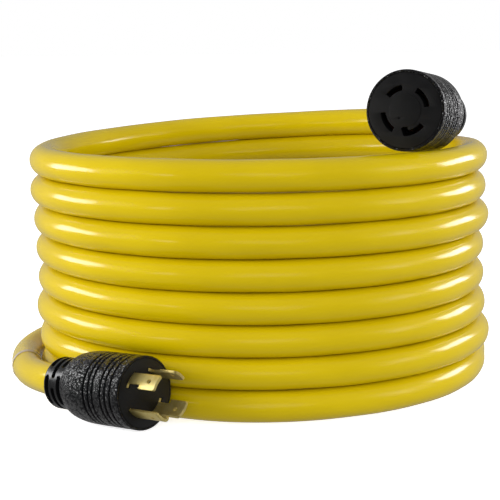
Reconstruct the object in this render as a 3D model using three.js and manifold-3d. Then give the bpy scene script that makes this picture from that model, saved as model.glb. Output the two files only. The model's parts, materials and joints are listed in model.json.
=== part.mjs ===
// A shore power cord: a coil of heavy four-core cord with a locking plug at its lower end and the
// matching locking connector at its upper end. Millimetres, +Z up, standing on the plane z = 0.
import * as THREE from 'three';
import { mergeVertices } from 'three/addons/utils/BufferGeometryUtils.js';
import Module from 'manifold-3d';

const wasm = await Module();
wasm.setup();

// Driving dimensions.
const GAP = 0.3;
const ARC_STEP = 14;
const ROUND_SEGMENTS = 24;
const CORD_DIAMETER = 18;
const CORD_RADIUS = CORD_DIAMETER / 2;
const COIL_TURNS = 8;
const COIL_RADIUS = 131.8;
const COIL_FOOT = 4;
const COIL_SEGMENTS = 48;
const COIL_HEIGHT = COIL_TURNS * CORD_DIAMETER;
const CORD_SIDES = 10;
const FILM_BORE = CORD_RADIUS + 2 * GAP;
const FILM_OUTER = FILM_BORE + 0.5;
const FILM_SIDES = 12;
const FILM_STEPS = 6;
const FILM_FROM = 0.168;
const FILM_TO = 0.262;

// Heights of the cord's centre line in the lead on the floor and in the top turn. Each pass over
// the back half of the coil rises by one turn, a little slower at first and faster at the end.
// The leads end where they have joined the coil, as progress over the back from left to right.
const LEAD_LOW = FILM_OUTER + 0.1;
const TOP_TURN = COIL_HEIGHT - CORD_RADIUS;
const RISE_SWAY = 0.04;
const PLUG_LEAD_END = 0.86;
const CONNECTOR_LEAD_END = 0.2;
const POCKET_END = 0.005;

// Four poles on one circle, in degrees round from the ground pole. Each has an arc blade on the
// plug, with its middle at bladeAt and bladeSpan wide, and an arc slot on the connector, likewise.
// A slot is wider than its blade, as the blade turns in it to lock.
const POLES = [
  { name: 'ground', bladeAt: 0, bladeSpan: 42, slotAt: 0, slotSpan: 55, wire: 0x2f7d3a },
  { name: 'hot_x', bladeAt: 81, bladeSpan: 49, slotAt: 83, slotSpan: 55, wire: 0x1d1d1f },
  { name: 'neutral', bladeAt: 180, bladeSpan: 39, slotAt: 174.5, slotSpan: 42, wire: 0xe4e2dc },
  { name: 'hot_y', bladeAt: 264, bladeSpan: 43, slotAt: 260, slotSpan: 54, wire: 0xa8261f },
];
const BLADE_INNER = 11.9;
const BLADE_OUTER = 13.5;
const BLADE_LENGTH = 20;
const BLADE_HOOK_START = 8.3;
const BLADE_HOOK_DEGREES = 11;
const BLADE_HOLE_RADIUS = 1.2;
const BLADE_HOLE_FROM_TIP = 5.8;
const BLADE_TAIL = 18;
const BLADE_TAIL_DEGREES = 24;
const GROUND_LEG_INNER = 10.2;
const GROUND_LEG_DEGREES = 7;
const FIT_DEGREES = 1.8;

const SLOT_INNER = 11.2;
const SLOT_OUTER = 14.1;
const SLOT_LEG_INNER = 8.6;
const SLOT_LEG_DEGREES = 13;

const CRIMP_CIRCLE = 10.5;
const CRIMP_OUTER = 3.2;
const CRIMP_INNER = 2.2;
const STRAND_RADIUS = 1.8;
const WIRE_RADIUS = 2.4;
const WIRE_CIRCLE_IN_CORD = 3.8;

// The two moulded ends. Depths run back from the face. The flange of the flex relief is caught in
// the grip's cavity, and its collar carries three staggered rows of slots.
const PLUG = {
  name: 'plug',
  gripRadius: 20,
  edge: 1,
  shoulderStart: 31,
  gripEnd: 49.2,
  shoulderEndRadius: 14.9,
  grooves: [6, 9.8, 13.5, 19.7, 23.1, 26.8],
  seatRadius: 18.7,
  seatDepth: 4.3,
  cavityRadius: 16.2,
  flangeStart: 40.4,
  flangeEnd: 43,
  jacketEnd: 46,
  collarRadius: 14.2,
  collarRows: [53.9, 58.6, 63.3],
  length: 67.4,
  crimpStart: 18.3,
  crimpEnd: 26.3,
};
const CONNECTOR = {
  name: 'connector',
  gripRadius: 22.8,
  edge: 1.2,
  shoulderStart: 36.4,
  gripEnd: 47.6,
  shoulderEndRadius: 15.2,
  grooves: [5.5, 9.2, 12.9, 18.8, 22.5, 26.2],
  seatRadius: 21.2,
  seatDepth: 4.3,
  cavityRadius: 18.5,
  flangeStart: 40.2,
  flangeEnd: 42.8,
  jacketEnd: 46.6,
  collarRadius: 15.2,
  collarRows: [54, 59, 64],
  length: 70,
  crimpStart: 25.8,
  crimpEnd: 30.8,
};
const GROOVE_WIDTH = 1.3;
const GROOVE_DEPTH = 0.9;
const CARRIER_DEPTH = 13.8;
const FACE_DEPTH = 9;
const BLOCK_START = FACE_DEPTH + GAP;
const BLOCK_END = 25.5;
const CONTACT_END = 22.6;
const CONTACT_WALL = 0.8;
const FLANGE_RADIUS = 15.5;
const SHANK_RADIUS = 12.5;
const RELIEF_BORE = CORD_RADIUS + GAP;
const RELIEF_ROUND = 3;
const COLLAR_FLARE = 0.4;
const COLLAR_SLOT_FLOOR = 11.2;
const COLLAR_SLOT_WIDTH = 2.3;
const COLLAR_SLOT_DEGREES = 63;
const COLLAR_SLOTS_PER_ROW = 4;

// Where the two ends lie, about the coil's axis: the middle of the face, the turn of its outward
// normal from -Y towards +X, how far the normal tips up, and the ground pole's place on the face.
// The plug lies on the floor on the rim of its shoulder. The connector lies on the top turn.
const PLUG_POSE = { face: [-63.2, -151.7, 22.3], heading: 48, tip: 4.2, ground: -129 };
const CONNECTOR_POSE = { face: [80.2, -95.6, 166.8], heading: -24.3, tip: 5.8, ground: 295.5 };

const BLACK_GRIP = { color: 0x17171a, roughness: 0.55, metalness: 0 };
const BLACK_RELIEF = { color: 0x1b1b1e, roughness: 0.35, metalness: 0 };
const BLACK_FACE = { color: 0x141416, roughness: 0.5, metalness: 0 };
const BRASS = { color: 0xc9a64e, roughness: 0.3, metalness: 1 };
const COPPER = { color: 0xb8703f, roughness: 0.35, metalness: 1 };
const TIN = { color: 0xb9bbbd, roughness: 0.4, metalness: 1 };
const YELLOW_JACKET = { color: 0xd9c21a, roughness: 0.28, metalness: 0 };
const CLEAR_FILM = { color: 0xd8cfc4, roughness: 0.25, metalness: 0 };

const radians = THREE.MathUtils.degToRad;

// Booleans.
function solidOf(geometry) {
  const flat = geometry.index ? geometry.toNonIndexed() : geometry.clone();
  flat.deleteAttribute('normal');
  flat.deleteAttribute('uv');
  const merged = mergeVertices(flat, 1e-4);
  return new wasm.Manifold(new wasm.Mesh({
    numProp: 3,
    vertProperties: new Float32Array(merged.attributes.position.array),
    triVerts: new Uint32Array(merged.index.array),
  }));
}

function geometryOf(solid) {
  const mesh = solid.getMesh();
  const geometry = new THREE.BufferGeometry();
  geometry.setAttribute('position', new THREE.BufferAttribute(mesh.vertProperties, 3));
  geometry.setIndex(new THREE.BufferAttribute(mesh.triVerts, 1));
  geometry.computeVertexNormals();
  return geometry;
}

function cutFrom(geometry, cutters) {
  let solid = solidOf(geometry);
  for (const cutter of cutters) {
    solid = solid.subtract(solidOf(cutter));
  }
  return geometryOf(solid);
}

function joined(geometries) {
  let solid = solidOf(geometries[0]);
  for (const geometry of geometries.slice(1)) {
    solid = solid.add(solidOf(geometry));
  }
  return geometryOf(solid);
}

// Shapes.
function mesh(name, geometry, look) {
  const made = new THREE.Mesh(geometry, new THREE.MeshStandardMaterial(look));
  made.name = name;
  return made;
}

// A closed profile of [radius, height] pairs, anticlockwise, turned about +Z.
function turned(profile, segments) {
  const points = [...profile, profile[0]].map(([radius, height]) => new THREE.Vector2(radius, height));
  return new THREE.LatheGeometry(points, segments).rotateX(Math.PI / 2);
}

// Points on an ellipse's arc, from one angle to another in degrees.
function arc(centreR, centreZ, radiusR, radiusZ, from, to, steps) {
  const points = [];
  for (let i = 0; i <= steps; i += 1) {
    const angle = radians(from + ((to - from) * i) / steps);
    points.push([centreR + radiusR * Math.cos(angle), centreZ + radiusZ * Math.sin(angle)]);
  }
  return points;
}

// A sector of a ring about +Z, between two radii, two angles in degrees and two heights.
function sector(inner, outer, from, to, low, high) {
  const start = radians(from);
  const end = radians(to);
  const shape = new THREE.Shape();
  shape.absarc(0, 0, outer, start, end, false);
  shape.absarc(0, 0, inner, end, start, true);
  const curveSegments = Math.max(2, Math.round((to - from) / ARC_STEP));
  const options = { depth: high - low, bevelEnabled: false, curveSegments };
  return new THREE.ExtrudeGeometry(shape, options).translate(0, 0, low);
}

function roundSection(radius, sides) {
  const shape = new THREE.Shape();
  for (let i = 0; i < sides; i += 1) {
    const angle = (2 * Math.PI * i) / sides;
    const corner = [radius * Math.cos(angle), radius * Math.sin(angle)];
    if (i === 0) {
      shape.moveTo(...corner);
    } else {
      shape.lineTo(...corner);
    }
  }
  shape.closePath();
  return shape;
}

function curveThrough(points) {
  return new THREE.CatmullRomCurve3(points.map((point) => new THREE.Vector3(...point)));
}

function swept(curve, radius, sides, steps) {
  const options = { extrudePath: curve, steps, bevelEnabled: false };
  return new THREE.ExtrudeGeometry(roundSection(radius, sides), options);
}

function rod(radius, low, high, sides) {
  const made = new THREE.CylinderGeometry(radius, radius, high - low, sides);
  return made.rotateX(Math.PI / 2).translate(0, 0, (low + high) / 2);
}

// The overmoulded grip: two groups of three grooves, a domed shoulder, and a cavity open at the
// face and at the back.
function gripGeometry(end) {
  const outline = [[SHANK_RADIUS + GAP, -end.gripEnd]];
  const shoulderLength = end.gripEnd - end.shoulderStart;
  const shoulderDrop = end.gripRadius - end.shoulderEndRadius;
  const shoulder = [end.shoulderEndRadius, -end.shoulderStart, shoulderDrop, shoulderLength];
  outline.push(...arc(...shoulder, -90, 0, 5));
  for (const depth of [...end.grooves].reverse()) {
    outline.push([end.gripRadius, -depth - GROOVE_WIDTH / 2]);
    outline.push([end.gripRadius - GROOVE_DEPTH, -depth]);
    outline.push([end.gripRadius, -depth + GROOVE_WIDTH / 2]);
  }
  outline.push(...arc(end.gripRadius - end.edge, -end.edge, end.edge, end.edge, 0, 90, 2));
  outline.push([end.seatRadius, 0]);
  outline.push([end.seatRadius, -end.seatDepth]);
  outline.push([end.cavityRadius, -end.seatDepth]);
  outline.push([end.cavityRadius, -end.flangeEnd - GAP]);
  outline.push([SHANK_RADIUS + GAP, -end.flangeEnd - GAP]);
  return turned(outline, ROUND_SEGMENTS);
}

// The flex relief: a flange inside the grip, a shank, and a slotted collar round the cord.
function reliefGeometry(end) {
  const collar = end.collarRadius;
  const collarStart = end.gripEnd + GAP;
  const outline = [[RELIEF_BORE, -end.length]];
  const roundCentre = -end.length + RELIEF_ROUND;
  outline.push(...arc(collar - RELIEF_ROUND, roundCentre, RELIEF_ROUND, RELIEF_ROUND, -90, 0, 3));
  outline.push([collar + COLLAR_FLARE, -collarStart]);
  outline.push([SHANK_RADIUS, -collarStart]);
  outline.push([SHANK_RADIUS, -end.flangeEnd]);
  outline.push([FLANGE_RADIUS, -end.flangeEnd]);
  outline.push([FLANGE_RADIUS, -end.flangeStart]);
  outline.push([RELIEF_BORE, -end.flangeStart]);
  const slots = [];
  end.collarRows.forEach((depth, row) => {
    for (let i = 0; i < COLLAR_SLOTS_PER_ROW; i += 1) {
      const pitch = 360 / COLLAR_SLOTS_PER_ROW;
      const from = pitch * (i + (row % 2) / 2) - COLLAR_SLOT_DEGREES / 2;
      const low = -depth - COLLAR_SLOT_WIDTH / 2;
      const reach = collar + 2;
      const to = from + COLLAR_SLOT_DEGREES;
      slots.push(sector(COLLAR_SLOT_FLOOR, reach, from, to, low, low + COLLAR_SLOT_WIDTH));
    }
  });
  return cutFrom(turned(outline, ROUND_SEGMENTS), slots);
}

// One blade, about its own middle angle. The hook and the ground pole's leg are on the
// anticlockwise side of the plug's face.
function bladeGeometry(pole) {
  const low = -pole.bladeSpan / 2;
  const high = pole.bladeSpan / 2;
  const isGround = pole.name === 'ground';
  const stemHigh = isGround ? high : high - BLADE_HOOK_DEGREES;
  const bodies = [
    sector(BLADE_INNER, BLADE_OUTER, low, high, -CARRIER_DEPTH, -GAP),
    sector(BLADE_INNER, BLADE_OUTER, low, stemHigh, -CARRIER_DEPTH / 2, BLADE_HOOK_START + 1),
    sector(BLADE_INNER, BLADE_OUTER, low, high, BLADE_HOOK_START, BLADE_LENGTH),
    sector(
      BLADE_INNER, BLADE_OUTER, -BLADE_TAIL_DEGREES / 2, BLADE_TAIL_DEGREES / 2,
      -BLADE_TAIL, -CARRIER_DEPTH + 1,
    ),
  ];
  if (isGround) {
    const legFrom = high - GROUND_LEG_DEGREES;
    const legOuter = (BLADE_INNER + BLADE_OUTER) / 2;
    bodies.push(sector(GROUND_LEG_INNER, legOuter, legFrom, high, -CARRIER_DEPTH, BLADE_LENGTH));
  }
  const holeHeight = BLADE_LENGTH - BLADE_HOLE_FROM_TIP;
  const hole = new THREE.CylinderGeometry(BLADE_HOLE_RADIUS, BLADE_HOLE_RADIUS, BLADE_OUTER, 10);
  hole.rotateZ(Math.PI / 2).translate(BLADE_OUTER, 0, holeHeight);
  return cutFrom(joined(bodies), [hole]);
}

// The rigid disc that holds the four blades.
function carrierGeometry(end) {
  const flange = end.seatRadius - GAP;
  const hub = end.cavityRadius - GAP;
  const flangeDepth = end.seatDepth - GAP;
  const outline = [[0, -CARRIER_DEPTH], [hub, -CARRIER_DEPTH], [hub, -flangeDepth]];
  outline.push([flange, -flangeDepth], [flange, 0], [0, 0]);
  const cutters = [];
  for (const pole of POLES) {
    const from = pole.bladeAt - pole.bladeSpan / 2 - FIT_DEGREES;
    const to = pole.bladeAt + pole.bladeSpan / 2 + FIT_DEGREES;
    const inner = BLADE_INNER - GAP;
    cutters.push(sector(inner, BLADE_OUTER + GAP, from, to, -CARRIER_DEPTH - 1, 1));
    if (pole.name === 'ground') {
      const legFrom = to - GROUND_LEG_DEGREES - 2 * FIT_DEGREES;
      cutters.push(sector(GROUND_LEG_INNER - GAP, BLADE_OUTER, legFrom, to, -CARRIER_DEPTH - 1, 1));
    }
  }
  return cutFrom(turned(outline, ROUND_SEGMENTS), cutters);
}

// The slots of the connector mirror the blades, so their angles run the other way.
function slotCutters(low, high) {
  const cutters = [];
  for (const pole of POLES) {
    const from = -pole.slotAt - pole.slotSpan / 2;
    const to = -pole.slotAt + pole.slotSpan / 2;
    cutters.push(sector(SLOT_INNER, SLOT_OUTER, from, to, low, high));
    if (pole.name === 'ground') {
      cutters.push(sector(SLOT_LEG_INNER, SLOT_OUTER, from, from + SLOT_LEG_DEGREES, low, high));
    }
  }
  return cutters;
}

function socketFaceGeometry(end) {
  const flange = end.seatRadius - GAP;
  const hub = end.cavityRadius - GAP;
  const flangeDepth = end.seatDepth - GAP;
  const outline = [[0, -FACE_DEPTH], [hub, -FACE_DEPTH], [hub, -flangeDepth]];
  outline.push([flange, -flangeDepth], [flange, 0], [0, 0]);
  return cutFrom(turned(outline, ROUND_SEGMENTS), slotCutters(-FACE_DEPTH - 1, 1));
}

// The contact of one pole: a curved channel that grips the blade on both faces, closed at the back.
function contactGeometry(pole) {
  const inner = SLOT_INNER - CONTACT_WALL;
  const outer = SLOT_OUTER + CONTACT_WALL;
  const half = pole.slotSpan / 2;
  const body = sector(inner, outer, -half, half, -CONTACT_END, -BLOCK_START - GAP);
  const blade = sector(
    SLOT_INNER, SLOT_OUTER, -half - 1, half + 1, -CONTACT_END + CONTACT_WALL, -BLOCK_START + 1,
  );
  const tail = sector(
    BLADE_INNER, BLADE_OUTER, -BLADE_TAIL_DEGREES / 2, BLADE_TAIL_DEGREES / 2,
    -BLOCK_END, -CONTACT_END + CONTACT_WALL / 2,
  );
  return joined([cutFrom(body, [blade]), tail]);
}

function contactBlockGeometry(end) {
  const hub = end.cavityRadius - GAP;
  const outline = [[0, -BLOCK_END], [hub, -BLOCK_END], [hub, -BLOCK_START], [0, -BLOCK_START]];
  const inner = SLOT_INNER - CONTACT_WALL - GAP;
  const outer = SLOT_OUTER + CONTACT_WALL + GAP;
  const pockets = POLES.map((pole) => {
    const half = pole.slotSpan / 2 + FIT_DEGREES;
    const from = -pole.slotAt - half;
    const to = -pole.slotAt + half;
    return sector(inner, outer, from, to, -BLOCK_END - 1, -BLOCK_START + 1);
  });
  return cutFrom(turned(outline, ROUND_SEGMENTS), pockets);
}

// Crimp barrel, bare strands and insulated conductor of one pole, from the tail of its blade or
// contact to where the jacket ends.
function addWiring(group, end, pole, angle) {
  const spoke = new THREE.Group();
  spoke.rotation.z = radians(angle);
  const barrel = [
    [CRIMP_INNER, -end.crimpEnd], [CRIMP_OUTER, -end.crimpEnd],
    [CRIMP_OUTER, -end.crimpStart], [CRIMP_INNER, -end.crimpStart],
  ];
  const crimp = mesh(`${end.name}_${pole.name}_crimp`, turned(barrel, 12), TIN);
  crimp.position.x = CRIMP_CIRCLE;
  const strandGeometry = rod(STRAND_RADIUS, -end.crimpEnd - GAP, -end.crimpStart - GAP, 8);
  const strands = mesh(`${end.name}_${pole.name}_strands`, strandGeometry, COPPER);
  strands.position.x = CRIMP_CIRCLE;
  const start = end.crimpEnd + 2 * GAP;
  const stop = end.jacketEnd - GAP;
  const bend = (stop - start) / 3;
  const route = new THREE.CubicBezierCurve3(
    new THREE.Vector3(CRIMP_CIRCLE, 0, -start),
    new THREE.Vector3(CRIMP_CIRCLE, 0, -start - bend),
    new THREE.Vector3(WIRE_CIRCLE_IN_CORD, 0, -stop + bend),
    new THREE.Vector3(WIRE_CIRCLE_IN_CORD, 0, -stop),
  );
  const wireLook = { color: pole.wire, roughness: 0.4, metalness: 0 };
  const wire = mesh(`${end.name}_${pole.name}_wire`, swept(route, WIRE_RADIUS, 8, 6), wireLook);
  spoke.add(crimp, strands, wire);
  group.add(spoke);
}

// Local +Z points out of the face, and local +X to the right of someone who looks at the face.
function place(group, pose) {
  const heading = radians(pose.heading);
  const tip = radians(pose.tip);
  const outward = new THREE.Vector3(
    Math.sin(heading) * Math.cos(tip), -Math.cos(heading) * Math.cos(tip), Math.sin(tip),
  );
  const right = new THREE.Vector3(0, 0, 1).cross(outward).normalize();
  const up = outward.clone().cross(right);
  group.quaternion.setFromRotationMatrix(new THREE.Matrix4().makeBasis(right, up, outward));
  group.position.set(...pose.face);
  group.updateMatrixWorld(true);
}

function makePlug() {
  const group = new THREE.Group();
  group.add(mesh('plug_grip', gripGeometry(PLUG), BLACK_GRIP));
  group.add(mesh('plug_flex_relief', reliefGeometry(PLUG), BLACK_RELIEF));
  const core = new THREE.Group();
  core.rotation.z = radians(PLUG_POSE.ground);
  core.add(mesh('plug_blade_carrier', carrierGeometry(PLUG), BLACK_FACE));
  for (const pole of POLES) {
    const blade = mesh(`plug_${pole.name}_blade`, bladeGeometry(pole), BRASS);
    blade.rotation.z = radians(pole.bladeAt);
    core.add(blade);
    addWiring(core, PLUG, pole, pole.bladeAt);
  }
  group.add(core);
  place(group, PLUG_POSE);
  return group;
}

function makeConnector() {
  const group = new THREE.Group();
  group.add(mesh('connector_grip', gripGeometry(CONNECTOR), BLACK_GRIP));
  group.add(mesh('connector_flex_relief', reliefGeometry(CONNECTOR), BLACK_RELIEF));
  const core = new THREE.Group();
  core.rotation.z = radians(CONNECTOR_POSE.ground);
  core.add(mesh('connector_socket_face', socketFaceGeometry(CONNECTOR), BLACK_FACE));
  core.add(mesh('connector_contact_block', contactBlockGeometry(CONNECTOR), BLACK_FACE));
  for (const pole of POLES) {
    const contact = mesh(`connector_${pole.name}_contact`, contactGeometry(pole), COPPER);
    contact.rotation.z = radians(-pole.slotAt);
    core.add(contact);
    addWiring(core, CONNECTOR, pole, -pole.slotAt);
  }
  group.add(core);
  place(group, CONNECTOR_POSE);
  return group;
}

// Points on an end's axis, given as depths behind its face.
function onAxis(group, depths) {
  return depths.map((depth) => group.localToWorld(new THREE.Vector3(0, 0, -depth)).toArray());
}

// The coil's outer shape: one ring whose inner and outer walls follow the stacked turns.
function coilGeometry(cutters) {
  const outline = [[COIL_RADIUS - COIL_FOOT, 0], [COIL_RADIUS + COIL_FOOT, 0]];
  for (let turn = 0; turn < COIL_TURNS; turn += 1) {
    const middle = (turn + 0.5) * CORD_DIAMETER;
    const wall = arc(COIL_RADIUS, middle, CORD_RADIUS, CORD_RADIUS, -45, 45, 2);
    outline.push(...wall);
  }
  outline.push([COIL_RADIUS + COIL_FOOT, COIL_HEIGHT], [COIL_RADIUS - COIL_FOOT, COIL_HEIGHT]);
  const inside = COIL_RADIUS - CORD_RADIUS;
  outline.push([inside, COIL_HEIGHT - CORD_RADIUS], [inside, CORD_RADIUS]);
  return cutFrom(turned(outline, COIL_SEGMENTS), cutters);
}

const plug = makePlug();
const connector = makeConnector();

// Points of the coil's passes over the back half. Progress runs from 0 on the left to 1 on the right.
function passAt(progress, radius, height) {
  const angle = Math.PI * (1 - progress);
  return [radius * Math.cos(angle), radius * Math.sin(angle), height];
}

function riseAt(progress) {
  return CORD_DIAMETER * (progress - RISE_SWAY * Math.sin(2 * Math.PI * progress));
}

function passPoints(from, to, steps, pointAt) {
  const points = [];
  for (let i = 0; i <= steps; i += 1) {
    points.push(pointAt(from + ((to - from) * i) / steps));
  }
  return points;
}

// The lead runs from the plug down to the floor, round the outside of the lowest turn on the left
// and on along the back, where the lowest turn rises and the lead moves in under it.
function lowPass(progress) {
  const aside = Math.sqrt(CORD_DIAMETER ** 2 - riseAt(progress) ** 2);
  return passAt(progress, COIL_RADIUS + aside, LEAD_LOW);
}
const plugLeadRoute = [
  ...onAxis(plug, [PLUG.jacketEnd, 58, PLUG.length, 71]),
  [-121.4, -94.6, 16.2],
  [-129, -80.6, 14.2],
  [-137, -62, 12.2],
  [-142.4, -44.3, 10.8],
  [-146.2, -24.8, LEAD_LOW],
  [-149.2, -7.2, LEAD_LOW],
  ...passPoints(0.02, PLUG_LEAD_END, 12, lowPass),
];
const plugLead = curveThrough(plugLeadRoute);

// The last pass rises over the back onto the top turn, and comes forward to the connector.
function topPass(progress) {
  return passAt(progress, COIL_RADIUS, TOP_TURN + riseAt(progress));
}
const connectorLeadRoute = [
  ...onAxis(connector, [CONNECTOR.jacketEnd, 60, CONNECTOR.length, 75]),
  [115.8, -13, TOP_TURN + 21.4],
  [118.4, 0, TOP_TURN + 19.6],
  [119.2, 16, TOP_TURN + 18.2],
  [118.2, 35, TOP_TURN + 17.4],
  [114.6, 54, TOP_TURN + 17],
  ...passPoints(0.81, CONNECTOR_LEAD_END, 9, topPass),
];
const connectorLead = curveThrough(connectorLeadRoute);

// A thin clear film is still wrapped round the lead beside the coil.
const filmPoints = [];
for (let i = 0; i <= FILM_STEPS; i += 1) {
  filmPoints.push(plugLead.getPointAt(FILM_FROM + ((FILM_TO - FILM_FROM) * i) / FILM_STEPS));
}
const filmPath = new THREE.CatmullRomCurve3(filmPoints);
const filmTube = swept(filmPath, FILM_OUTER, FILM_SIDES, FILM_STEPS * 2);
const filmShaft = swept(
  curveThrough([
    plugLead.getPointAt(FILM_FROM - 0.02).toArray(),
    ...filmPoints.map((point) => point.toArray()),
    plugLead.getPointAt(FILM_TO + 0.02).toArray(),
  ]),
  FILM_BORE, FILM_SIDES, FILM_STEPS * 2 + 4,
);

// The plug and the leads lie in shallow pockets of the coil, each a little longer than its lead.
const plugLeadPocket = curveThrough([...plugLeadRoute, lowPass(PLUG_LEAD_END + POCKET_END)]);
const connectorLeadPocket = curveThrough([
  ...connectorLeadRoute, topPass(CONNECTOR_LEAD_END - POCKET_END),
]);
const coilCutters = [
  swept(connectorLeadPocket, CORD_RADIUS + 2 * GAP, FILM_SIDES, 40),
  rod(PLUG.gripRadius + 2 * GAP, -PLUG.gripEnd, 1, ROUND_SEGMENTS).applyMatrix4(plug.matrixWorld),
  swept(plugLeadPocket, FILM_OUTER + 2 * GAP, FILM_SIDES, 52),
];

const model = new THREE.Group();
model.name = 'shore_power_cord';
model.add(mesh('coil', coilGeometry(coilCutters), YELLOW_JACKET));
model.add(mesh('plug_lead', swept(plugLead, CORD_RADIUS, CORD_SIDES, 44), YELLOW_JACKET));
model.add(mesh('connector_lead', swept(connectorLead, CORD_RADIUS, CORD_SIDES, 32), YELLOW_JACKET));
model.add(mesh('lead_film_wrap', cutFrom(filmTube, [filmShaft]), CLEAR_FILM));
model.add(plug, connector);

// The origin is the middle of the footprint, on the floor.
const extent = new THREE.Box3().setFromObject(model, true);
const centre = extent.getCenter(new THREE.Vector3());
model.position.set(-centre.x, -centre.y, -extent.min.z);
const whole = new THREE.Group();
whole.add(model);
whole.updateMatrixWorld(true);

export default whole;
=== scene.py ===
"""Looks for the shore power cord: the coiled cord, its film wrap, the plug and the connector.

Lengths are in metres. Route points are measured from the coil's axis and the floor, as in the
CAD model. Each end is built in its own frame, with +Z out of its face and +X to the right of
someone who looks at the face, and is then put in place by its mount in the record.
"""
import json
import math

import bmesh
import bpy
import numpy as np
from mathutils import Matrix, Vector, noise


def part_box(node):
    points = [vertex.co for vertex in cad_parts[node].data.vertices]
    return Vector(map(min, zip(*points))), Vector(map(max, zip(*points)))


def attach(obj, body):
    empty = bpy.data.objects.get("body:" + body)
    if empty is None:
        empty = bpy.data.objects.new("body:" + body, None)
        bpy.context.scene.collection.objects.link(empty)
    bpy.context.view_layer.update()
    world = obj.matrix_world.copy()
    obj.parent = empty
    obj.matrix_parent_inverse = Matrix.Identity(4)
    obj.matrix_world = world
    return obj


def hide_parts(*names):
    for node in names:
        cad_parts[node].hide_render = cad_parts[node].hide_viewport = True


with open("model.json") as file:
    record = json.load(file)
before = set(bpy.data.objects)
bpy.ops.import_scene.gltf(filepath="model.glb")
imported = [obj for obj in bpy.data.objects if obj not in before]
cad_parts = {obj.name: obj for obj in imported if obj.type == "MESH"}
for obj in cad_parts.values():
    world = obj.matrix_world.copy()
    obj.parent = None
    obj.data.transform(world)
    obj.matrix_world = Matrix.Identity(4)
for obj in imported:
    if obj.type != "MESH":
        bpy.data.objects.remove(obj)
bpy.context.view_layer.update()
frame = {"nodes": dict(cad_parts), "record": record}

MM = 0.001
coil_low, coil_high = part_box("coil")
AXIS = Vector(((coil_low.x + coil_high.x) / 2, (coil_low.y + coil_high.y) / 2, coil_low.z))

# The cord and its coil.
CORD_RADIUS = 9 * MM
PITCH = 18 * MM
TURNS = 8
COIL_RADIUS = 131.8 * MM
RISE_SWAY = 0.04
TOP_TURN = TURNS * PITCH - CORD_RADIUS
LAST_PASS_SINK = 0.4 * MM
LOOSE_AT = 110
LOOSE_SPREAD = 17
CORD_SIDES = 44
RING_STEP = 4 * MM

# How far each turn stands out at the right and at the left of the coil, from the lowest turn up.
RIGHT_BULGE = [0.4, 2.2, -0.2, -1.2, -1.6, 0.9, -0.6, 0.1]
LEFT_BULGE = [-1.5, -1.6, -0.4, -1.9, -0.7, 0.1, 1.2, 1.4]

# Where the two lowest turns are out of round beside the plug. Each is a turn, a place and a spread
# in degrees, and a depth in millimetres, less than 0 where the turn stands out.
DENTS = [(0, 236, 15, 4.0), (1, 236, 15, 3.0), (0, 203, 9, -0.8)]

# The four poles, in degrees round from the ground pole: the middle of the blade and its width at
# the root, then the middle of the connector's slot and its width.
POLES = {
    "ground": (0, 42, 0, 55),
    "hot_x": (81, 49, 83, 55),
    "neutral": (180, 39, 174.5, 45),
    "hot_y": (264, 43, 260, 54),
}
PLUG_GROUND = -129
CONNECTOR_GROUND = 295.5


def face_frame(mount):
    """The local frame of an end, from the mount on its face."""
    outward = Vector(mount["axis"]).normalized()
    right = Vector((0, 0, 1)).cross(outward).normalized()
    up = outward.cross(right)
    turn = Matrix((right, up, outward)).transposed().to_4x4()
    return Matrix.Translation(Vector(mount["pos_m"])) @ turn


mounts = {mount["name"]: mount for mount in frame["record"]["mounts"]}
PLUG_FRAME = face_frame(mounts["plug_face"])
CONNECTOR_FRAME = face_frame(mounts["connector_face"])


# ---------------------------------------------------------------- camera and light

def add_camera():
    """Stands where the photograph was taken from: in front, a little above the coil."""
    focal_length = 100.74
    pitch = 0.1549
    roll = -0.012
    forward = Vector((0, math.cos(pitch), -math.sin(pitch)))
    level = Vector((1, 0, 0))
    upright = level.cross(forward)
    right = level * math.cos(roll) + upright * math.sin(roll)
    up = upright * math.cos(roll) - level * math.sin(roll)
    data = bpy.data.cameras.new("camera")
    data.lens = focal_length
    data.sensor_width = 36
    camera = bpy.data.objects.new("camera", data)
    place = Matrix((right, up, -forward)).transposed().to_4x4()
    place.translation = AXIS + Vector((-6.47, -872.5, 210.9)) * MM
    camera.matrix_world = place
    bpy.context.scene.collection.objects.link(camera)
    bpy.context.scene.camera = camera


def add_softbox(name, at, size, energy, target=(0, 0, 0.07)):
    """A rectangular area light that faces the object."""
    data = bpy.data.lights.new(name, "AREA")
    data.shape = "RECTANGLE"
    data.size, data.size_y = size
    data.energy = energy
    light = bpy.data.objects.new(name, data)
    light.location = at
    aim = Vector(target) - Vector(at)
    light.rotation_euler = aim.to_track_quat("-Z", "Y").to_euler()
    bpy.context.scene.collection.objects.link(light)
    return light


# The studio is a white room that is dark towards the front in reflections. Softboxes are seen in
# reflections and fills aren't. Each is a name, a place, a size and a power.
ROOM_STRENGTH = 0.485
SOFTBOXES = [
    ("left_box", (-0.495, 0.02, 0.18), (0.27, 0.12), 0.8),
    ("right_box", (0.52, 0.14, 0.21), (0.28, 0.12), 0.9),
    ("front_left_box", (-0.6, -0.62, 0.2), (0.16, 0.12), 0.13),
    ("front_right_box", (0.75, -0.3, 0.25), (0.16, 0.14), 0.08),
]
FILLS = [
    ("front_fill", (0.1, -2.2, 0.6), (1.4, 0.8), 17),
    ("left_fill", (-1.9, -0.55, 0.6), (1.0, 0.9), 29),
    ("right_fill", (1.9, -0.55, 0.6), (1.0, 0.9), 21),
]


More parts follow.
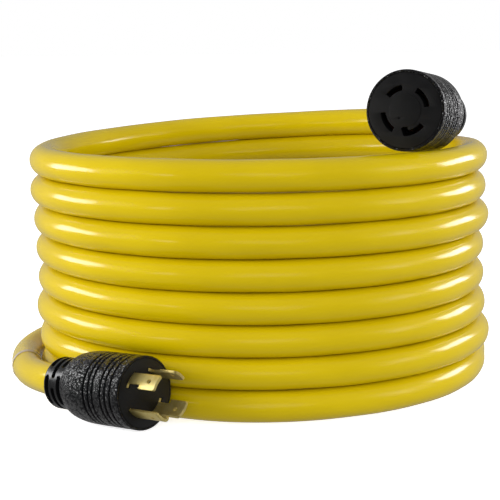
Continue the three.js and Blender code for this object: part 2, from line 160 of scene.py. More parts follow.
def add_studio():
    scene = bpy.context.scene
    scene.view_settings.view_transform = "Standard"
    world = bpy.data.worlds.new("studio")
    scene.world = world
    world.use_nodes = True
    nodes, links = world.node_tree.nodes, world.node_tree.links
    background = nodes["Background"]
    background.inputs["Color"].default_value = (1.0, 1.0, 1.0, 1)
    rays = nodes.new("ShaderNodeLightPath")
    coordinates = nodes.new("ShaderNodeTexCoord")
    parts = nodes.new("ShaderNodeSeparateXYZ")
    links.new(coordinates.outputs["Generated"], parts.inputs["Vector"])
    reflected = value_range(nodes, links, parts.outputs["Y"], 0.0, 0.36, -1.0, 0.6)
    steps = [(rays.outputs["Is Glossy Ray"], reflected), (rays.outputs["Is Camera Ray"], 1.0)]
    strength = ROOM_STRENGTH
    for chosen, value in steps:
        mix = nodes.new("ShaderNodeMix")
        links.new(chosen, mix.inputs["Factor"])
        for socket, source in (("A", strength), ("B", value)):
            if isinstance(source, float):
                mix.inputs[socket].default_value = source
            else:
                links.new(source, mix.inputs[socket])
        strength = mix.outputs["Result"]
    links.new(strength, background.inputs["Strength"])
    for name, at, size, energy in SOFTBOXES:
        add_softbox(name, at, size, energy)
    for name, at, size, energy in FILLS:
        add_softbox(name, at, size, energy).visible_glossy = False


def add_floor():
    size = 12.0
    mesh = bpy.data.meshes.new("floor")
    corners = [(-size, -size, 0), (size, -size, 0), (size, size, 0), (-size, size, 0)]
    mesh.from_pydata(corners, [], [(0, 1, 2, 3)])
    floor = bpy.data.objects.new("floor", mesh)
    bpy.context.scene.collection.objects.link(floor)
    material, nodes, links, shader = new_material("floor_paper")
    shader.inputs["Base Color"].default_value = (0.93, 0.93, 0.93, 1)
    shader.inputs["Roughness"].default_value = 0.9
    shader.inputs["Specular IOR Level"].default_value = 0.1
    shader.inputs["Emission Color"].default_value = (1, 1, 1, 1)
    shader.inputs["Emission Strength"].default_value = 0.72
    mesh.materials.append(material)
    floor.visible_diffuse = False
    floor.visible_glossy = False


# ---------------------------------------------------------------- materials

def new_material(name):
    material = bpy.data.materials.new(name)
    material.use_nodes = True
    nodes = material.node_tree.nodes
    return material, nodes, material.node_tree.links, nodes["Principled BSDF"]


def noise_field(nodes, links, scale, detail=3.0, roughness=0.5, stretch=None):
    """Noise over the piece's own place in metres, or over its length and girth."""
    coordinates = nodes.new("ShaderNodeTexCoord")
    texture = nodes.new("ShaderNodeTexNoise")
    texture.inputs["Scale"].default_value = scale
    texture.inputs["Detail"].default_value = detail
    texture.inputs["Roughness"].default_value = roughness
    if stretch is None:
        links.new(coordinates.outputs["Object"], texture.inputs["Vector"])
    else:
        mapping = nodes.new("ShaderNodeMapping")
        mapping.inputs["Scale"].default_value = stretch
        links.new(coordinates.outputs["UV"], mapping.inputs["Vector"])
        links.new(mapping.outputs["Vector"], texture.inputs["Vector"])
    return texture.outputs["Fac"]


def colour_ramp(nodes, links, field, stops):
    ramp = nodes.new("ShaderNodeValToRGB")
    ramp.color_ramp.elements[0].position = stops[0][0]
    ramp.color_ramp.elements[0].color = (*stops[0][1], 1)
    ramp.color_ramp.elements[1].position = stops[-1][0]
    ramp.color_ramp.elements[1].color = (*stops[-1][1], 1)
    for position, colour in stops[1:-1]:
        ramp.color_ramp.elements.new(position).color = (*colour, 1)
    links.new(field, ramp.inputs["Fac"])
    return ramp.outputs["Color"]


def value_range(nodes, links, field, low, high, from_low=0.3, from_high=0.7):
    spread = nodes.new("ShaderNodeMapRange")
    spread.inputs["From Min"].default_value = from_low
    spread.inputs["From Max"].default_value = from_high
    spread.inputs["To Min"].default_value = low
    spread.inputs["To Max"].default_value = high
    links.new(field, spread.inputs["Value"])
    return spread.outputs["Result"]


def bump(nodes, links, height, strength, distance, under=None):
    made = nodes.new("ShaderNodeBump")
    made.inputs["Strength"].default_value = strength
    made.inputs["Distance"].default_value = distance
    links.new(height, made.inputs["Height"])
    if under is not None:
        links.new(under, made.inputs["Normal"])
    return made.outputs["Normal"]


def vector_step(nodes, links, operation, first, second):
    step = nodes.new("ShaderNodeVectorMath")
    step.operation = operation
    links.new(first, step.inputs[0])
    if second is not None:
        step.inputs[1].default_value = second
    return step


PEBBLES_PER_METRE = 1050
PEBBLE_SLOPE = 0.4
PEBBLE_TILT = 0.72


def jacket_material():
    """Glossy flexible vinyl, with faint lengthwise drawing lines and cloudy colour."""
    material, nodes, links, shader = new_material("yellow_vinyl")
    clouds = noise_field(nodes, links, 22, 4)
    stops = [(0.3, (0.55, 0.40, 0.0008)), (0.5, (0.57, 0.417, 0.001)), (0.7, (0.59, 0.434, 0.0014))]
    links.new(colour_ramp(nodes, links, clouds, stops), shader.inputs["Base Color"])
    lines = noise_field(nodes, links, 1, 3, 0.6, (6, 60, 1))
    links.new(value_range(nodes, links, lines, 0.15, 0.23), shader.inputs["Roughness"])
    ripples = noise_field(nodes, links, 1, 2, 0.5, (90, 10, 1))
    first = bump(nodes, links, ripples, 0.3, 0.0002)
    links.new(bump(nodes, links, lines, 0.15, 0.0001, first), shader.inputs["Normal"])
    shader.inputs["IOR"].default_value = 1.5
    return material


# The colour sockets of a Mix node, whose names it shares with its number sockets.
COLOUR_A, COLOUR_B, COLOUR_RESULT = 6, 7, 2


def film_material():
    """Thin clear wrapping film, milky where it bunches up at its edge."""
    material, nodes, links, shader = new_material("wrapping_film")
    folds = noise_field(nodes, links, 160, 4, 0.6)
    coordinates = nodes.new("ShaderNodeTexCoord")
    parts = nodes.new("ShaderNodeSeparateXYZ")
    links.new(coordinates.outputs["UV"], parts.inputs["Vector"])
    milky = colour_ramp(nodes, links, folds, [(0.3, (0.42, 0.35, 0.29)), (0.7, (0.54, 0.46, 0.39))])
    clear = colour_ramp(nodes, links, folds, [(0.3, (0.6, 0.66, 0.7)), (0.7, (0.7, 0.76, 0.8))])
    spread = value_range(nodes, links, parts.outputs["X"], 0.0, 1.0, 0.0056, 0.0074)
    colour = nodes.new("ShaderNodeMix")
    colour.data_type = "RGBA"
    links.new(spread, colour.inputs["Factor"])
    links.new(milky, colour.inputs[COLOUR_A])
    links.new(clear, colour.inputs[COLOUR_B])
    links.new(colour.outputs[COLOUR_RESULT], shader.inputs["Base Color"])
    links.new(value_range(nodes, links, spread, 0.85, 0.05, 0.0, 1.0), shader.inputs["Alpha"])
    links.new(bump(nodes, links, folds, 0.3, 0.0002), shader.inputs["Normal"])
    shader.inputs["Roughness"].default_value = 0.35
    return material


def grip_material():
    """Black moulded vinyl with a skin of fine pebbles, each domed about its own middle."""
    material, nodes, links, shader = new_material("pebbled_black")
    coordinates = nodes.new("ShaderNodeTexCoord")
    warp = nodes.new("ShaderNodeTexNoise")
    warp.inputs["Scale"].default_value = 420
    links.new(coordinates.outputs["Object"], warp.inputs["Vector"])
    place = vector_step(nodes, links, "MULTIPLY_ADD", warp.outputs["Color"], (0.0011,) * 3)
    links.new(coordinates.outputs["Object"], place.inputs[2])
    pebbles = nodes.new("ShaderNodeTexVoronoi")
    pebbles.inputs["Scale"].default_value = PEBBLES_PER_METRE
    links.new(place.outputs["Vector"], pebbles.inputs["Vector"])
    away = vector_step(nodes, links, "SUBTRACT", place.outputs["Vector"], None)
    links.new(pebbles.outputs["Position"], away.inputs[1])
    surface = nodes.new("ShaderNodeNewGeometry")
    slope = (PEBBLE_SLOPE * PEBBLES_PER_METRE,) * 3
    domed = vector_step(nodes, links, "MULTIPLY_ADD", away.outputs["Vector"], slope)
    links.new(surface.outputs["Normal"], domed.inputs[2])
    centred = vector_step(nodes, links, "SUBTRACT", pebbles.outputs["Color"], (0.5,) * 3)
    tilted = vector_step(
        nodes, links, "MULTIPLY_ADD", centred.outputs["Vector"], (PEBBLE_TILT,) * 3
    )
    links.new(domed.outputs["Vector"], tilted.inputs[2])
    normal = vector_step(nodes, links, "NORMALIZE", tilted.outputs["Vector"], None)
    links.new(normal.outputs["Vector"], shader.inputs["Normal"])
    wear = noise_field(nodes, links, 90, 4)
    stops = [(0.3, (0.003, 0.003, 0.0035)), (0.7, (0.007, 0.007, 0.0075))]
    links.new(colour_ramp(nodes, links, wear, stops), shader.inputs["Base Color"])
    links.new(value_range(nodes, links, wear, 0.2, 0.27), shader.inputs["Roughness"])
    return material


def smooth_black_material(name, base, low_roughness, high_roughness, grain):
    """Smooth moulded black, with a slight orange peel and a cloudy gloss."""
    material, nodes, links, shader = new_material(name)
    clouds = noise_field(nodes, links, 130, 4)
    peel = noise_field(nodes, links, grain, 2)
    dark = tuple(0.75 * value for value in base)
    light = tuple(1.3 * value for value in base)
    links.new(
        colour_ramp(nodes, links, clouds, [(0.3, dark), (0.7, light)]),
        shader.inputs["Base Color"],
    )
    links.new(
        value_range(nodes, links, clouds, low_roughness, high_roughness),
        shader.inputs["Roughness"],
    )
    links.new(bump(nodes, links, peel, 0.25, 0.0001), shader.inputs["Normal"])
    return material


def metal_material(name, dark, light, low_roughness, high_roughness, metallic=1.0):
    """Stamped metal with tarnish clouds and fine scratches."""
    material, nodes, links, shader = new_material(name)
    clouds = noise_field(nodes, links, 260, 5, 0.6)
    scratches = noise_field(nodes, links, 2600, 2)
    links.new(
        colour_ramp(nodes, links, clouds, [(0.3, dark), (0.7, light)]),
        shader.inputs["Base Color"],
    )
    links.new(
        value_range(nodes, links, clouds, low_roughness, high_roughness),
        shader.inputs["Roughness"],
    )
    links.new(bump(nodes, links, scratches, 0.12, 0.00005), shader.inputs["Normal"])
    shader.inputs["Metallic"].default_value = metallic
    return material


def wire_material(name, base):
    """Smooth vinyl insulation of one colour, a little cloudy."""
    return smooth_black_material(name, base, 0.3, 0.45, 900)


# ---------------------------------------------------------------- mesh helpers

def add_piece(name, vertices, faces, material, place=None, sharp=35, uvs=None):
    mesh = bpy.data.meshes.new(name)
    mesh.from_pydata([tuple(vertex) for vertex in vertices], [], faces)
    mesh.validate()
    if uvs is not None:
        layer = mesh.uv_layers.new(name="UVMap")
        for loop in mesh.loops:
            layer.data[loop.index].uv = uvs[loop.vertex_index]
    return add_object(name, mesh, material, place, sharp)


def add_object(name, mesh, material, place=None, sharp=35):
    if place is not None:
        mesh.transform(place)
    mesh.shade_smooth()
    mesh.set_sharp_from_angle(angle=math.radians(sharp))
    mesh.materials.clear()
    mesh.materials.append(material)
    made = bpy.data.objects.new(name, mesh)
    bpy.context.scene.collection.objects.link(made)
    return made


def rounded(corners, steps=4):
    """A closed outline from (x, y, cut) corners, each cut back by that much and rounded."""
    count = len(corners)
    outline = []
    for i, (x, y, cut) in enumerate(corners):
        here = Vector((x, y))
        if cut == 0:
            outline.append((x, y))
            continue
        before = Vector(corners[i - 1][:2]) - here
        after = Vector(corners[(i + 1) % count][:2]) - here
        start = here + before.normalized() * min(cut, 0.49 * before.length)
        end = here + after.normalized() * min(cut, 0.49 * after.length)
        for k in range(steps + 1):
            t = k / steps
            point = start * (1 - t) ** 2 + here * 2 * t * (1 - t) + end * t ** 2
            outline.append((point.x, point.y))
    return outline


def arc_points(centre_r, centre_z, radius_r, radius_z, start, stop, steps):
    points = []
    for i in range(steps + 1):
        angle = math.radians(start + (stop - start) * i / steps)
        x = centre_r + radius_r * math.cos(angle)
        points.append((x, centre_z + radius_z * math.sin(angle)))
    return points


def turned(outline, segments, radius_at=None):
    """Vertices and faces of a closed (radius, height) outline turned about +Z, in metres."""
    vertices = []
    rings = []
    for r, z in outline:
        if r < 1e-9:
            rings.append([len(vertices)] * segments)
            vertices.append((0, 0, z))
            continue
        ring = []
        for i in range(segments):
            angle = 2 * math.pi * i / segments
            radius = r if radius_at is None else radius_at(r, z, angle)
            ring.append(len(vertices))
            vertices.append((radius * math.cos(angle), radius * math.sin(angle), z))
        rings.append(ring)
    faces = []
    for j, low in enumerate(rings):
        high = rings[(j + 1) % len(rings)]
        if low[0] == low[-1] and high[0] == high[-1]:
            continue
        for i in range(segments):
            k = (i + 1) % segments
            corners = [low[i], low[k], high[k], high[i]]
            faces.append([c for n, c in enumerate(corners) if c not in corners[:n]])
    return vertices, faces


def scaled(outline):
    return [(r * MM, z * MM) for r, z in outline]


# ---------------------------------------------------------------- the cord

def rise_at(progress):
    """Height gained over the back half, from 0 at the left to one pitch at the right."""
    return PITCH * (progress - RISE_SWAY * math.sin(2 * math.pi * progress))


def dent(angle, middle, width, depth):
    return -depth * math.exp(-(((angle - middle) / width) ** 2))


def coil_point(turns):
    """A point of the coil, by turns made since the lead passed the left side."""
    number = int(turns)
    part = turns - number
    on_back = part < 0.5
    angle = math.pi - 2 * math.pi * part
    rise = rise_at(2 * part) if on_back else PITCH
    level = number - 1
    height = CORD_RADIUS + PITCH * level + rise
    radius = COIL_RADIUS
    if level < 0:
        height = CORD_RADIUS
        radius += math.sqrt(max(PITCH ** 2 - rise ** 2, 0))
    if number == TURNS and on_back:
        # The last pass lies tight on the turn below, except for a stretch left of the middle.
        loose = math.exp(-(((math.degrees(angle) - LOOSE_AT) / LOOSE_SPREAD) ** 4))
        height -= LAST_PASS_SINK * min(part / 0.08, 1) * (1 - loose)
    right = RIGHT_BULGE[min(number, TURNS - 1)]
    left = LEFT_BULGE[max(level, 0) if on_back else min(number, TURNS - 1)]
    if level < 0 and on_back:
        left = 0
    radius += MM * right * max(math.cos(angle), 0) ** 2
    radius += MM * left * max(-math.cos(angle), 0) ** 2
    radius += 0.25 * MM * math.sin(3.1 * angle + 1.7 * number)
    radius += 0.15 * MM * math.sin(7.3 * angle + 2.9 * number)
    if not on_back:
        degrees = math.degrees(angle) % 360
        for turn, middle, spread, depth in DENTS:
            if turn == number:
                radius += MM * dent(degrees, middle, spread, depth)
    return (radius * math.cos(angle), radius * math.sin(angle), height)


def on_axis(place, depths):
    """Points on an end's axis, by depth behind its face, measured from the coil's axis."""
    return [tuple(place @ Vector((0, 0, -depth * MM)) - AXIS) for depth in depths]


def lead_points():
    """The lead from the plug to the floor beside the coil."""
    by_hand = [
        (-121.4, -94.2, 16.2), (-128.7, -80.6, 14.4), (-136.6, -62.0, 12.4),
        (-141.9, -44.3, 10.9), (-145.8, -24.8, 9.8), (-148.7, -7.2, 9.3),
    ]
    return on_axis(PLUG_FRAME, [50, 56, 62, 67, 71]) + [
        tuple(value * MM for value in point) for point in by_hand
    ]


def connector_points():
    """The last pass, from the top of the coil at the back right to the connector."""
    by_hand = [
        (114.6, 54, 17), (118.2, 35, 17.4), (119.2, 16, 18.2), (118.4, 0, 19.6), (115.8, -13, 21.4),
    ]
    points = [(x * MM, y * MM, TOP_TURN + z * MM) for x, y, z in by_hand]
    return points + on_axis(CONNECTOR_FRAME, [75, 70, 60, 50])


def spline(points, steps):
    """A smooth curve through the points, with that many steps between each two."""
    points = np.array(points)
    padded = np.vstack([2 * points[0] - points[1], points, 2 * points[-1] - points[-2]])
    found = []
    for i in range(len(points) - 1):
        a, b, c, d = padded[i:i + 4]
        for k in range(steps):
            t = k / steps
            found.append(0.5 * (
                2 * b + (c - a) * t + (2 * a - 5 * b + 4 * c - d) * t ** 2
                + (3 * b - a - 3 * c + d) * t ** 3
            ))
    found.append(points[-1])
    return np.array(found)


def evenly(points, step):
    """The same line with points a fixed step apart."""
    gaps = np.linalg.norm(np.diff(points, axis=0), axis=1)
    along = np.concatenate([[0], np.cumsum(gaps)])
    count = int(round(along[-1] / step))
    marks = np.linspace(0, along[-1], count + 1)
    return np.column_stack([np.interp(marks, along, points[:, axis]) for axis in range(3)])


def smoothed(points, rounds):
    """Eases small kinks out of an even line and keeps its ends."""
    points = points.copy()
    for _ in range(rounds):
        points[1:-1] = 0.25 * points[:-2] + 0.5 * points[1:-1] + 0.25 * points[2:]
    return points


def cord_path():
    per_turn = 48
    start = 0.01
    stop = TURNS + 0.405
    count = int((stop - start) * per_turn)
    coil = [coil_point(start + (stop - start) * i / count) for i in range(count + 1)]
    rough = spline(lead_points() + coil + connector_points(), 6)
    line = smoothed(evenly(rough, RING_STEP), 8)
    return evenly(line, RING_STEP) + np.array(AXIS)


def section_frames(path):
    """A pair of cross directions at each point of a path, carried along without twist."""
    tangents = np.gradient(path, axis=0)
    tangents /= np.linalg.norm(tangents, axis=1)[:, None]
    side = np.cross(tangents[0], (0, 0, 1))
    side /= np.linalg.norm(side)
    frames = []
    for tangent in tangents:
        side = side - tangent * side.dot(tangent)
        side /= np.linalg.norm(side)
        frames.append((side, np.cross(tangent, side)))
    return frames


def tube(path, sides, radius_at):
    """Vertices, faces and length-and-girth coordinates of a closed tube along a path."""
    frames = section_frames(path)
    gaps = np.linalg.norm(np.diff(path, axis=0), axis=1)
    along = np.concatenate([[0], np.cumsum(gaps)])
    vertices = []
    uvs = []
    for point, (side, other), distance in zip(path, frames, along):
        for k in range(sides):
            angle = 2 * math.pi * k / sides
            radius = radius_at(distance, angle)
            vertices.append(point + radius * (math.cos(angle) * side + math.sin(angle) * other))
            uvs.append((distance, angle / (2 * math.pi)))
    faces = []
    for i in range(len(path) - 1):
        for k in range(sides):
            n = (k + 1) % sides
            a, b = i * sides, (i + 1) * sides
            faces.append((a + k, a + n, b + n, b + k))
    last = (len(path) - 1) * sides
    faces.append(tuple(reversed(range(sides))))
    faces.append(tuple(last + k for k in range(sides)))
    return vertices, faces, uvs


def jacket_radius(distance, angle):
    """The four twisted cores show through the jacket as a very slight long spiral."""
    lay = 0.19
    spiral = math.cos(4 * angle - 2 * math.pi * 4 * distance / lay)
    wander = noise.noise(Vector((distance * 26, math.cos(angle) * 0.9, math.sin(angle) * 0.9)))
    return CORD_RADIUS + MM * (0.05 * spiral + 0.14 * wander - 0.08)


def add_cord(jacket):
    path = cord_path()
    vertices, faces, uvs = tube(path, CORD_SIDES, jacket_radius)
    cord = add_piece("cord", vertices, faces, jacket, uvs=uvs)
    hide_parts("coil", "plug_lead", "connector_lead")
    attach(cord, "root")
    return cord, path


# The film: where it starts and stops along the cord, and the spacing of its rings.
FILM_START = 88.5 * MM
FILM_STOP = 134 * MM
FILM_STEP = 0.6 * MM


def add_film(path, film):
    """Clear film round the lead, with a bunched edge towards the plug."""
    gaps = np.linalg.norm(np.diff(path, axis=0), axis=1)
    along = np.concatenate([[0], np.cumsum(gaps)])
    inside = evenly(path[(along > FILM_START) & (along < FILM_STOP)], FILM_STEP)
    sides = 72
    frames = section_frames(inside)
    rings = []
    uvs = []
    for i, (point, (side, other)) in enumerate(zip(inside, frames)):
        distance = i * FILM_STEP
        bunch = math.exp(-((distance - 1.2 * MM) / (1.0 * MM)) ** 2)
        ring = []
        for k in range(sides):
            angle = 2 * math.pi * k / sides
            cosine, sine = math.cos(angle), math.sin(angle)
            fold = noise.noise(Vector((distance * 220, cosine * 3, sine * 3)))
            crease = abs(noise.noise(Vector((distance * 90 + angle, cosine * 2, sine * 2 + 7))))
            radius = CORD_RADIUS + MM * (0.2 + 0.05 * fold + 0.08 * crease + 0.3 * bunch)
            ring.append(point + radius * (cosine * side + sine * other))
            uvs.append((distance + 0.3 * MM * fold, angle))
        rings.append(ring)
    inner = []
    for point, (side, other) in zip(inside[::-1], frames[::-1]):
        ring = []
        for k in range(sides):
            angle = 2 * math.pi * k / sides
            radius = CORD_RADIUS + 0.08 * MM
            ring.append(point + radius * (math.cos(angle) * side + math.sin(angle) * other))
            uvs.append((1, angle))
        inner.append(ring)
    loops = rings + inner
    vertices = [vertex for loop in loops for vertex in loop]
    faces = []
    for i in range(len(loops)):
        a, b = i * sides, ((i + 1) % len(loops)) * sides
        for k in range(sides):
            n = (k + 1) % sides
            faces.append((a + k, a + n, b + n, b + k))
    wrap = add_piece("film_wrap", vertices, faces, film, sharp=60, uvs=uvs)
    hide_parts("lead_film_wrap")
    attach(wrap, "root")
    return wrap


# ---------------------------------------------------------------- the two ends

END_SEGMENTS = 160

PLUG = {
    "name": "plug",
    "radius": 20.0,
    "edge": 0.9,
    "shoulder": 31.0,
    "end": 50.6,
    "neck": 14.7,
    "grooves": [6.0, 9.9, 13.5, 19.8, 23.1, 26.8],
    "seat": 18.7,
    "cavity": 16.2,
    "flange": 43.0,
    "collar": 14.6,
    "rows": [53.9, 58.6, 63.3],
    "row_turn": 5.5,
    "length": 67.4,
}
CONNECTOR = {
    "name": "connector",
    "radius": 22.8,
    "edge": 1.2,
    "shoulder": 36.5,
    "end": 46.2,
    "neck": 14.8,
    "grooves": [5.5, 9.2, 12.9, 18.8, 22.5, 26.2],
    "seat": 21.2,
    "cavity": 18.5,
    "flange": 42.8,
    "collar": 16.0,
    "rows": [54.4, 59.4, 64.4],
    "row_turn": 0.0,
    "length": 71.7,
}
GROOVE_HALF = 0.7
GROOVE_DEPTH = 1.1
SHANK_BORE = 12.8
ROW_TURN = 27


def add_grip(end, place, material):
    """The overmoulded grip, with six grooves and a domed shoulder."""
    radius = end["radius"]
    drop = radius - end["neck"]
    run = end["end"] - end["shoulder"]
    dome = arc_points(end["neck"], -end["shoulder"], drop, run, -88, 0, 22)
    corners = [(SHANK_BORE, -end["end"], 0)] + [(r, z, 0) for r, z in dome]
    for depth in reversed(end["grooves"]):
        corners.append((radius, -depth - GROOVE_HALF, 0.3))
        corners.append((radius - GROOVE_DEPTH, -depth - 0.25, 0.1))
        corners.append((radius - GROOVE_DEPTH, -depth + 0.25, 0.1))
        corners.append((radius, -depth + GROOVE_HALF, 0.3))
    corners.append((radius, 0, end["edge"]))
    corners.append((end["seat"], 0, 0.2))
    corners.append((end["seat"], -4.3, 0))
    corners.append((end["cavity"], -4.3, 0))
    corners.append((end["cavity"], -end["flange"] - 0.3, 0))
    corners.append((SHANK_BORE, -end["flange"] - 0.3, 0))
    vertices, faces = turned(scaled(rounded(corners)), END_SEGMENTS)
    grip = add_piece(end["name"] + "_grip_shell", vertices, faces, material, place)
    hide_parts(end["name"] + "_grip")
    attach(grip, "root")
    return grip


def add_relief(end, place, material):
    """The flex relief's collar, with three staggered rows of four slots cut into it."""
    collar = end["collar"]
    back = -end["length"]
    front = -end["end"] - 0.1
    rear = arc_points(collar - 3.0, back + 3.0, 3.0, 3.0, -90, 0, 10)
    walls = np.linspace(back + 3.2, front - 1.4, 56)
    outline = [(9.3, back)] + rear + [(collar, float(z)) for z in walls]
    outline += [(collar + 0.15, front - 0.9), (collar + 0.45, front), (12.5, front)]
    outline += [(12.5, -end["flange"]), (15.5, -end["flange"]), (15.5, -end["flange"] + 2.6)]
    outline += [(9.3, -end["flange"] + 2.6)]
    half_width, floor, half_angle = 1.25, 11.6, 34
    wall_run = 0.28

    def slot_radius(r, z, angle):
        radius, height = r / MM, z / MM
        if radius < floor or height > front - 0.2:
            return r
        degrees = math.degrees(angle)
        cut = 0.0
        for row, depth in enumerate(end["rows"]):
            turn = end["row_turn"] + ROW_TURN * (row % 2)
            offset = (degrees - turn + 45) % 90 - 45
            past = math.radians(abs(offset) - half_angle) * radius + half_width
            inside = half_width - math.hypot(height + depth, max(past, 0))
            cut = max(cut, min(max(inside / wall_run + 0.5, 0), 1))
        return MM * (radius - (radius - floor) * cut)

    vertices, faces = turned(scaled(outline), 240, slot_radius)
    relief = add_piece(end["name"] + "_relief_collar", vertices, faces, material, place, 50)
    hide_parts(end["name"] + "_flex_relief")
    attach(relief, "root")
    return relief


def flat_plate(loops, low, high, edge):
    """A mesh of a plate with holes: the first loop is its outline and the others are holes."""
    curve = bpy.data.curves.new("outline", "CURVE")
    curve.dimensions = "2D"
    curve.fill_mode = "BOTH"
    curve.extrude = (high - low) / 2 - edge
    curve.bevel_depth = edge
    curve.bevel_resolution = 2
    curve.offset = -edge
    for loop in loops:
        line = curve.splines.new("POLY")
        line.points.add(len(loop) - 1)
        for point, (x, y) in zip(line.points, loop):
            point.co = (x, y, 0, 1)
        line.use_cyclic_u = True
    holder = bpy.data.objects.new("outline", curve)
    mesh = bpy.data.meshes.new_from_object(holder)
    bpy.data.objects.remove(holder)
    mesh.transform(Matrix.Translation((0, 0, (low + high) / 2)))
    work = bmesh.new()
    work.from_mesh(mesh)
    bmesh.ops.remove_doubles(work, verts=work.verts, dist=2e-6)
    bmesh.ops.recalc_face_normals(work, faces=work.faces)
    work.to_mesh(mesh)
    work.free()
    return mesh


def ring_slot(inner, outer, start, stop, cut):
    """A loop round a curved slot between two radii and two angles in degrees, in metres."""
    steps = max(4, int((stop - start) / 3))
    trim = math.degrees(cut / outer)
    loop = []
    for i in range(steps + 1):
        angle = math.radians(start + trim + (stop - start - 2 * trim) * i / steps)
        loop.append((outer * math.cos(angle), outer * math.sin(angle)))
    for i in range(steps + 1):
        angle = math.radians(stop - trim - (stop - start - 2 * trim) * i / steps)
        loop.append((inner * math.cos(angle), inner * math.sin(angle)))
    return loop


def circle(radius, steps, centre=(0, 0)):
    return [
        (centre[0] + radius * math.cos(2 * math.pi * i / steps),
         centre[1] + radius * math.sin(2 * math.pi * i / steps))
        for i in range(steps)
    ]


def join_meshes(meshes):
    work = bmesh.new()
    for mesh in meshes:
        work.from_mesh(mesh)
    joined = bpy.data.meshes.new("joined")
    work.to_mesh(joined)
    work.free()
    return joined


def add_blade_carrier(place, material):
    """The smooth black disc that the blades stand in."""
    loops = [circle((PLUG["seat"] - 0.2) * MM, 120)]
    for at, span, _, _ in POLES.values():
        start = PLUG_GROUND + at - span / 2 - 1.4
        stop = PLUG_GROUND + at + span / 2 + 1.4
        loops.append(ring_slot(11.6 * MM, 13.8 * MM, start, stop, 0.1 * MM))
    mesh = flat_plate(loops, -4.0 * MM, 0.0, 0.12 * MM)
    core = flat_plate([circle(15.8 * MM, 90)], -13.8 * MM, -4.05 * MM, 0.2 * MM)
    disc = add_object("plug_face_disc", join_meshes([mesh, core]), material, place)
    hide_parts("plug_blade_carrier")
    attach(disc, "root")
    return disc


def blade_outline(span, hooked):
    """A blade laid flat: across is degrees from its middle, up is height above the face."""
    low, high = -span / 2, span / 2
    stem = high - 11 if hooked else high - 1.2
    corners = [
        (low, -3.8, 0), (high, -3.8, 0), (high, -0.3, 0.2), (stem, -0.3, 0.3),
    ]
    if hooked:
        corners += [(stem, 8.3, 0.4), (high, 8.3, 0.3)]
    corners += [(high if hooked else stem, 20, 1.3), (low + 1.2, 20, 1.3), (low + 1.2, -0.3, 0.3)]
    corners += [(low, -0.3, 0.2)]
    return corners


def add_blade(name, place, material):
    """A stamped blade: cut flat, its edges eased, then rolled to the pole circle."""
    at, span, _, _ = POLES[name]
    middle, half = 12.7, 0.8
    per_degree = math.radians(1) * middle
    hooked = name != "ground"
    flat = [(x * per_degree, y, cut) for x, y, cut in blade_outline(span, hooked)]
    bend_at = (span / 2 - 6) * per_degree
    if not hooked:
        flat = [(x + (2.2 if x > 0 else 0), y, cut) for x, y, cut in flat]
    hole = circle(1.25, 24, (0, 14.2))
    loops = [
        [(x * MM, y * MM) for x, y in rounded(flat, 3)],
        [(x * MM, y * MM) for x, y in hole],
    ]
    mesh = flat_plate(loops, -half * MM, half * MM, 0.22 * MM)
    work = bmesh.new()
    work.from_mesh(mesh)
    reach = span / 2 * per_degree + 4
    for x in np.arange(-reach, reach, 0.55):
        everything = work.verts[:] + work.edges[:] + work.faces[:]
        bmesh.ops.bisect_plane(
            work, geom=everything, plane_co=(float(x) * MM, 0, 0), plane_no=(1, 0, 0)
        )
    angle_at = math.radians(PLUG_GROUND + at)
    for vertex in work.verts:
        across, height, out = (value / MM for value in vertex.co)
        turn = across / middle
        if not hooked and across > bend_at:
            # The ground blade's leg turns in towards the axis round a tight bend.
            bend_radius = 1.3
            past = across - bend_at
            around = min(past / bend_radius, math.pi / 2)
            straight = max(past - bend_radius * math.pi / 2, 0)
            turn = bend_at / middle
            centre_r = middle - bend_radius
            r = centre_r + (bend_radius + out) * math.cos(around) - straight
            side = (bend_radius + out) * math.sin(around)
            angle = angle_at + turn
            x = r * math.cos(angle) - side * math.sin(angle)
            y = r * math.sin(angle) + side * math.cos(angle)
        else:
            r = middle + out
            x = r * math.cos(angle_at + turn)
            y = r * math.sin(angle_at + turn)
        vertex.co = Vector((x, y, height)) * MM
    bmesh.ops.recalc_face_normals(work, faces=work.faces)
    work.to_mesh(mesh)
    work.free()
    blade = add_object("plug_" + name + "_contact_blade", mesh, material, place, 30)
    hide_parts("plug_" + name + "_blade")
    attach(blade, "root")
    return blade


def connector_slots():
    """The slots' loops on the connector's face, where the poles run the other way round."""
    loops = []
    for name, (_, _, at, width) in POLES.items():
        start = CONNECTOR_GROUND - at - width / 2
        stop = CONNECTOR_GROUND - at + width / 2
        loop = ring_slot(11.2 * MM, 14.2 * MM, start, stop, 0.25 * MM)
        if name == "ground":
            # The ground slot's leg leans back towards the middle.
            keep = [
                point for point in loop
                if math.hypot(*point) > 13 * MM
                or math.atan2(point[1], point[0]) % (2 * math.pi) > math.radians(start + 14)
            ]
            leg = [(11.1, 14), (8.7, 11.5), (8.5, 5.5), (10.2, -8.5), (10.9, -6.8)]
            loop = keep + [
                (radius * MM * math.cos(math.radians(start + turn)),
                 radius * MM * math.sin(math.radians(start + turn)))
                for radius, turn in leg
            ]
        loops.append(loop)
    return loops


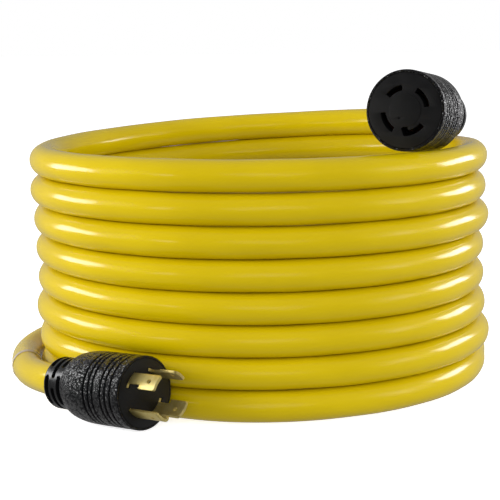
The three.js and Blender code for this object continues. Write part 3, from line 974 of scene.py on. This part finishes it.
def add_socket_face(place, material):
    """The smooth black face with its four curved slots, a barely raised middle and a dimple."""
    slots = connector_slots()
    outer = circle((CONNECTOR["seat"] - 0.2) * MM, 140)
    dimple_at = (-3.1 * MM, -4.35 * MM)
    dimple = circle(0.55 * MM, 16, dimple_at)
    front = flat_plate([outer, dimple] + slots, -4.0 * MM, 0.0, 0.15 * MM)
    hub = flat_plate([circle(18.1 * MM, 120)] + slots, -9.0 * MM, -4.02 * MM, 0.05 * MM)
    boss = flat_plate([circle(9.2 * MM, 96), dimple], -0.5 * MM, 0.2 * MM, 0.12 * MM)
    floor = flat_plate([circle(2.0 * MM, 24, dimple_at)], -1.2 * MM, -0.6 * MM, 0.05 * MM)
    face = add_object(
        "connector_face_disc", join_meshes([front, hub, boss, floor]), material, place
    )
    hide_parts("connector_socket_face")
    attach(face, "root")
    return face


# ---------------------------------------------------------------- build

add_camera()
jacket = jacket_material()
cord, path = add_cord(jacket)
wrap = add_film(path, film_material())

grip_black = grip_material()
relief_black = smooth_black_material("collar_black", (0.005, 0.005, 0.0055), 0.22, 0.32, 900)
face_black = smooth_black_material("face_black", (0.005, 0.005, 0.0055), 0.42, 0.55, 1400)
brass = metal_material("brass", (0.84, 0.66, 0.20), (0.95, 0.80, 0.34), 0.36, 0.46, 0.88)
copper = metal_material("copper", (0.42, 0.20, 0.10), (0.70, 0.36, 0.20), 0.25, 0.4)
tinned = metal_material("tinned", (0.45, 0.45, 0.46), (0.65, 0.65, 0.66), 0.3, 0.45)

plug_pieces = [
    add_grip(PLUG, PLUG_FRAME, grip_black),
    add_relief(PLUG, PLUG_FRAME, relief_black),
    add_blade_carrier(PLUG_FRAME, face_black),
]
plug_pieces += [add_blade(name, PLUG_FRAME, brass) for name in POLES]
connector_pieces = [
    add_grip(CONNECTOR, CONNECTOR_FRAME, grip_black),
    add_relief(CONNECTOR, CONNECTOR_FRAME, relief_black),
    add_socket_face(CONNECTOR_FRAME, face_black),
]

wires = {
    "ground": wire_material("green_insulation", (0.03, 0.22, 0.06)),
    "hot_x": wire_material("black_insulation", (0.02, 0.02, 0.02)),
    "neutral": wire_material("white_insulation", (0.62, 0.61, 0.58)),
    "hot_y": wire_material("red_insulation", (0.38, 0.02, 0.015)),
}
looks = {"connector_contact_block": face_black}
for end in ("plug", "connector"):
    for pole, insulation in wires.items():
        looks[f"{end}_{pole}_crimp"] = tinned
        looks[f"{end}_{pole}_strands"] = copper
        looks[f"{end}_{pole}_wire"] = insulation
for pole in POLES:
    looks[f"connector_{pole}_contact"] = copper
for node, look in looks.items():
    part = frame["nodes"][node]
    part.data.materials.clear()
    part.data.materials.append(look)

add_floor()
add_studio()
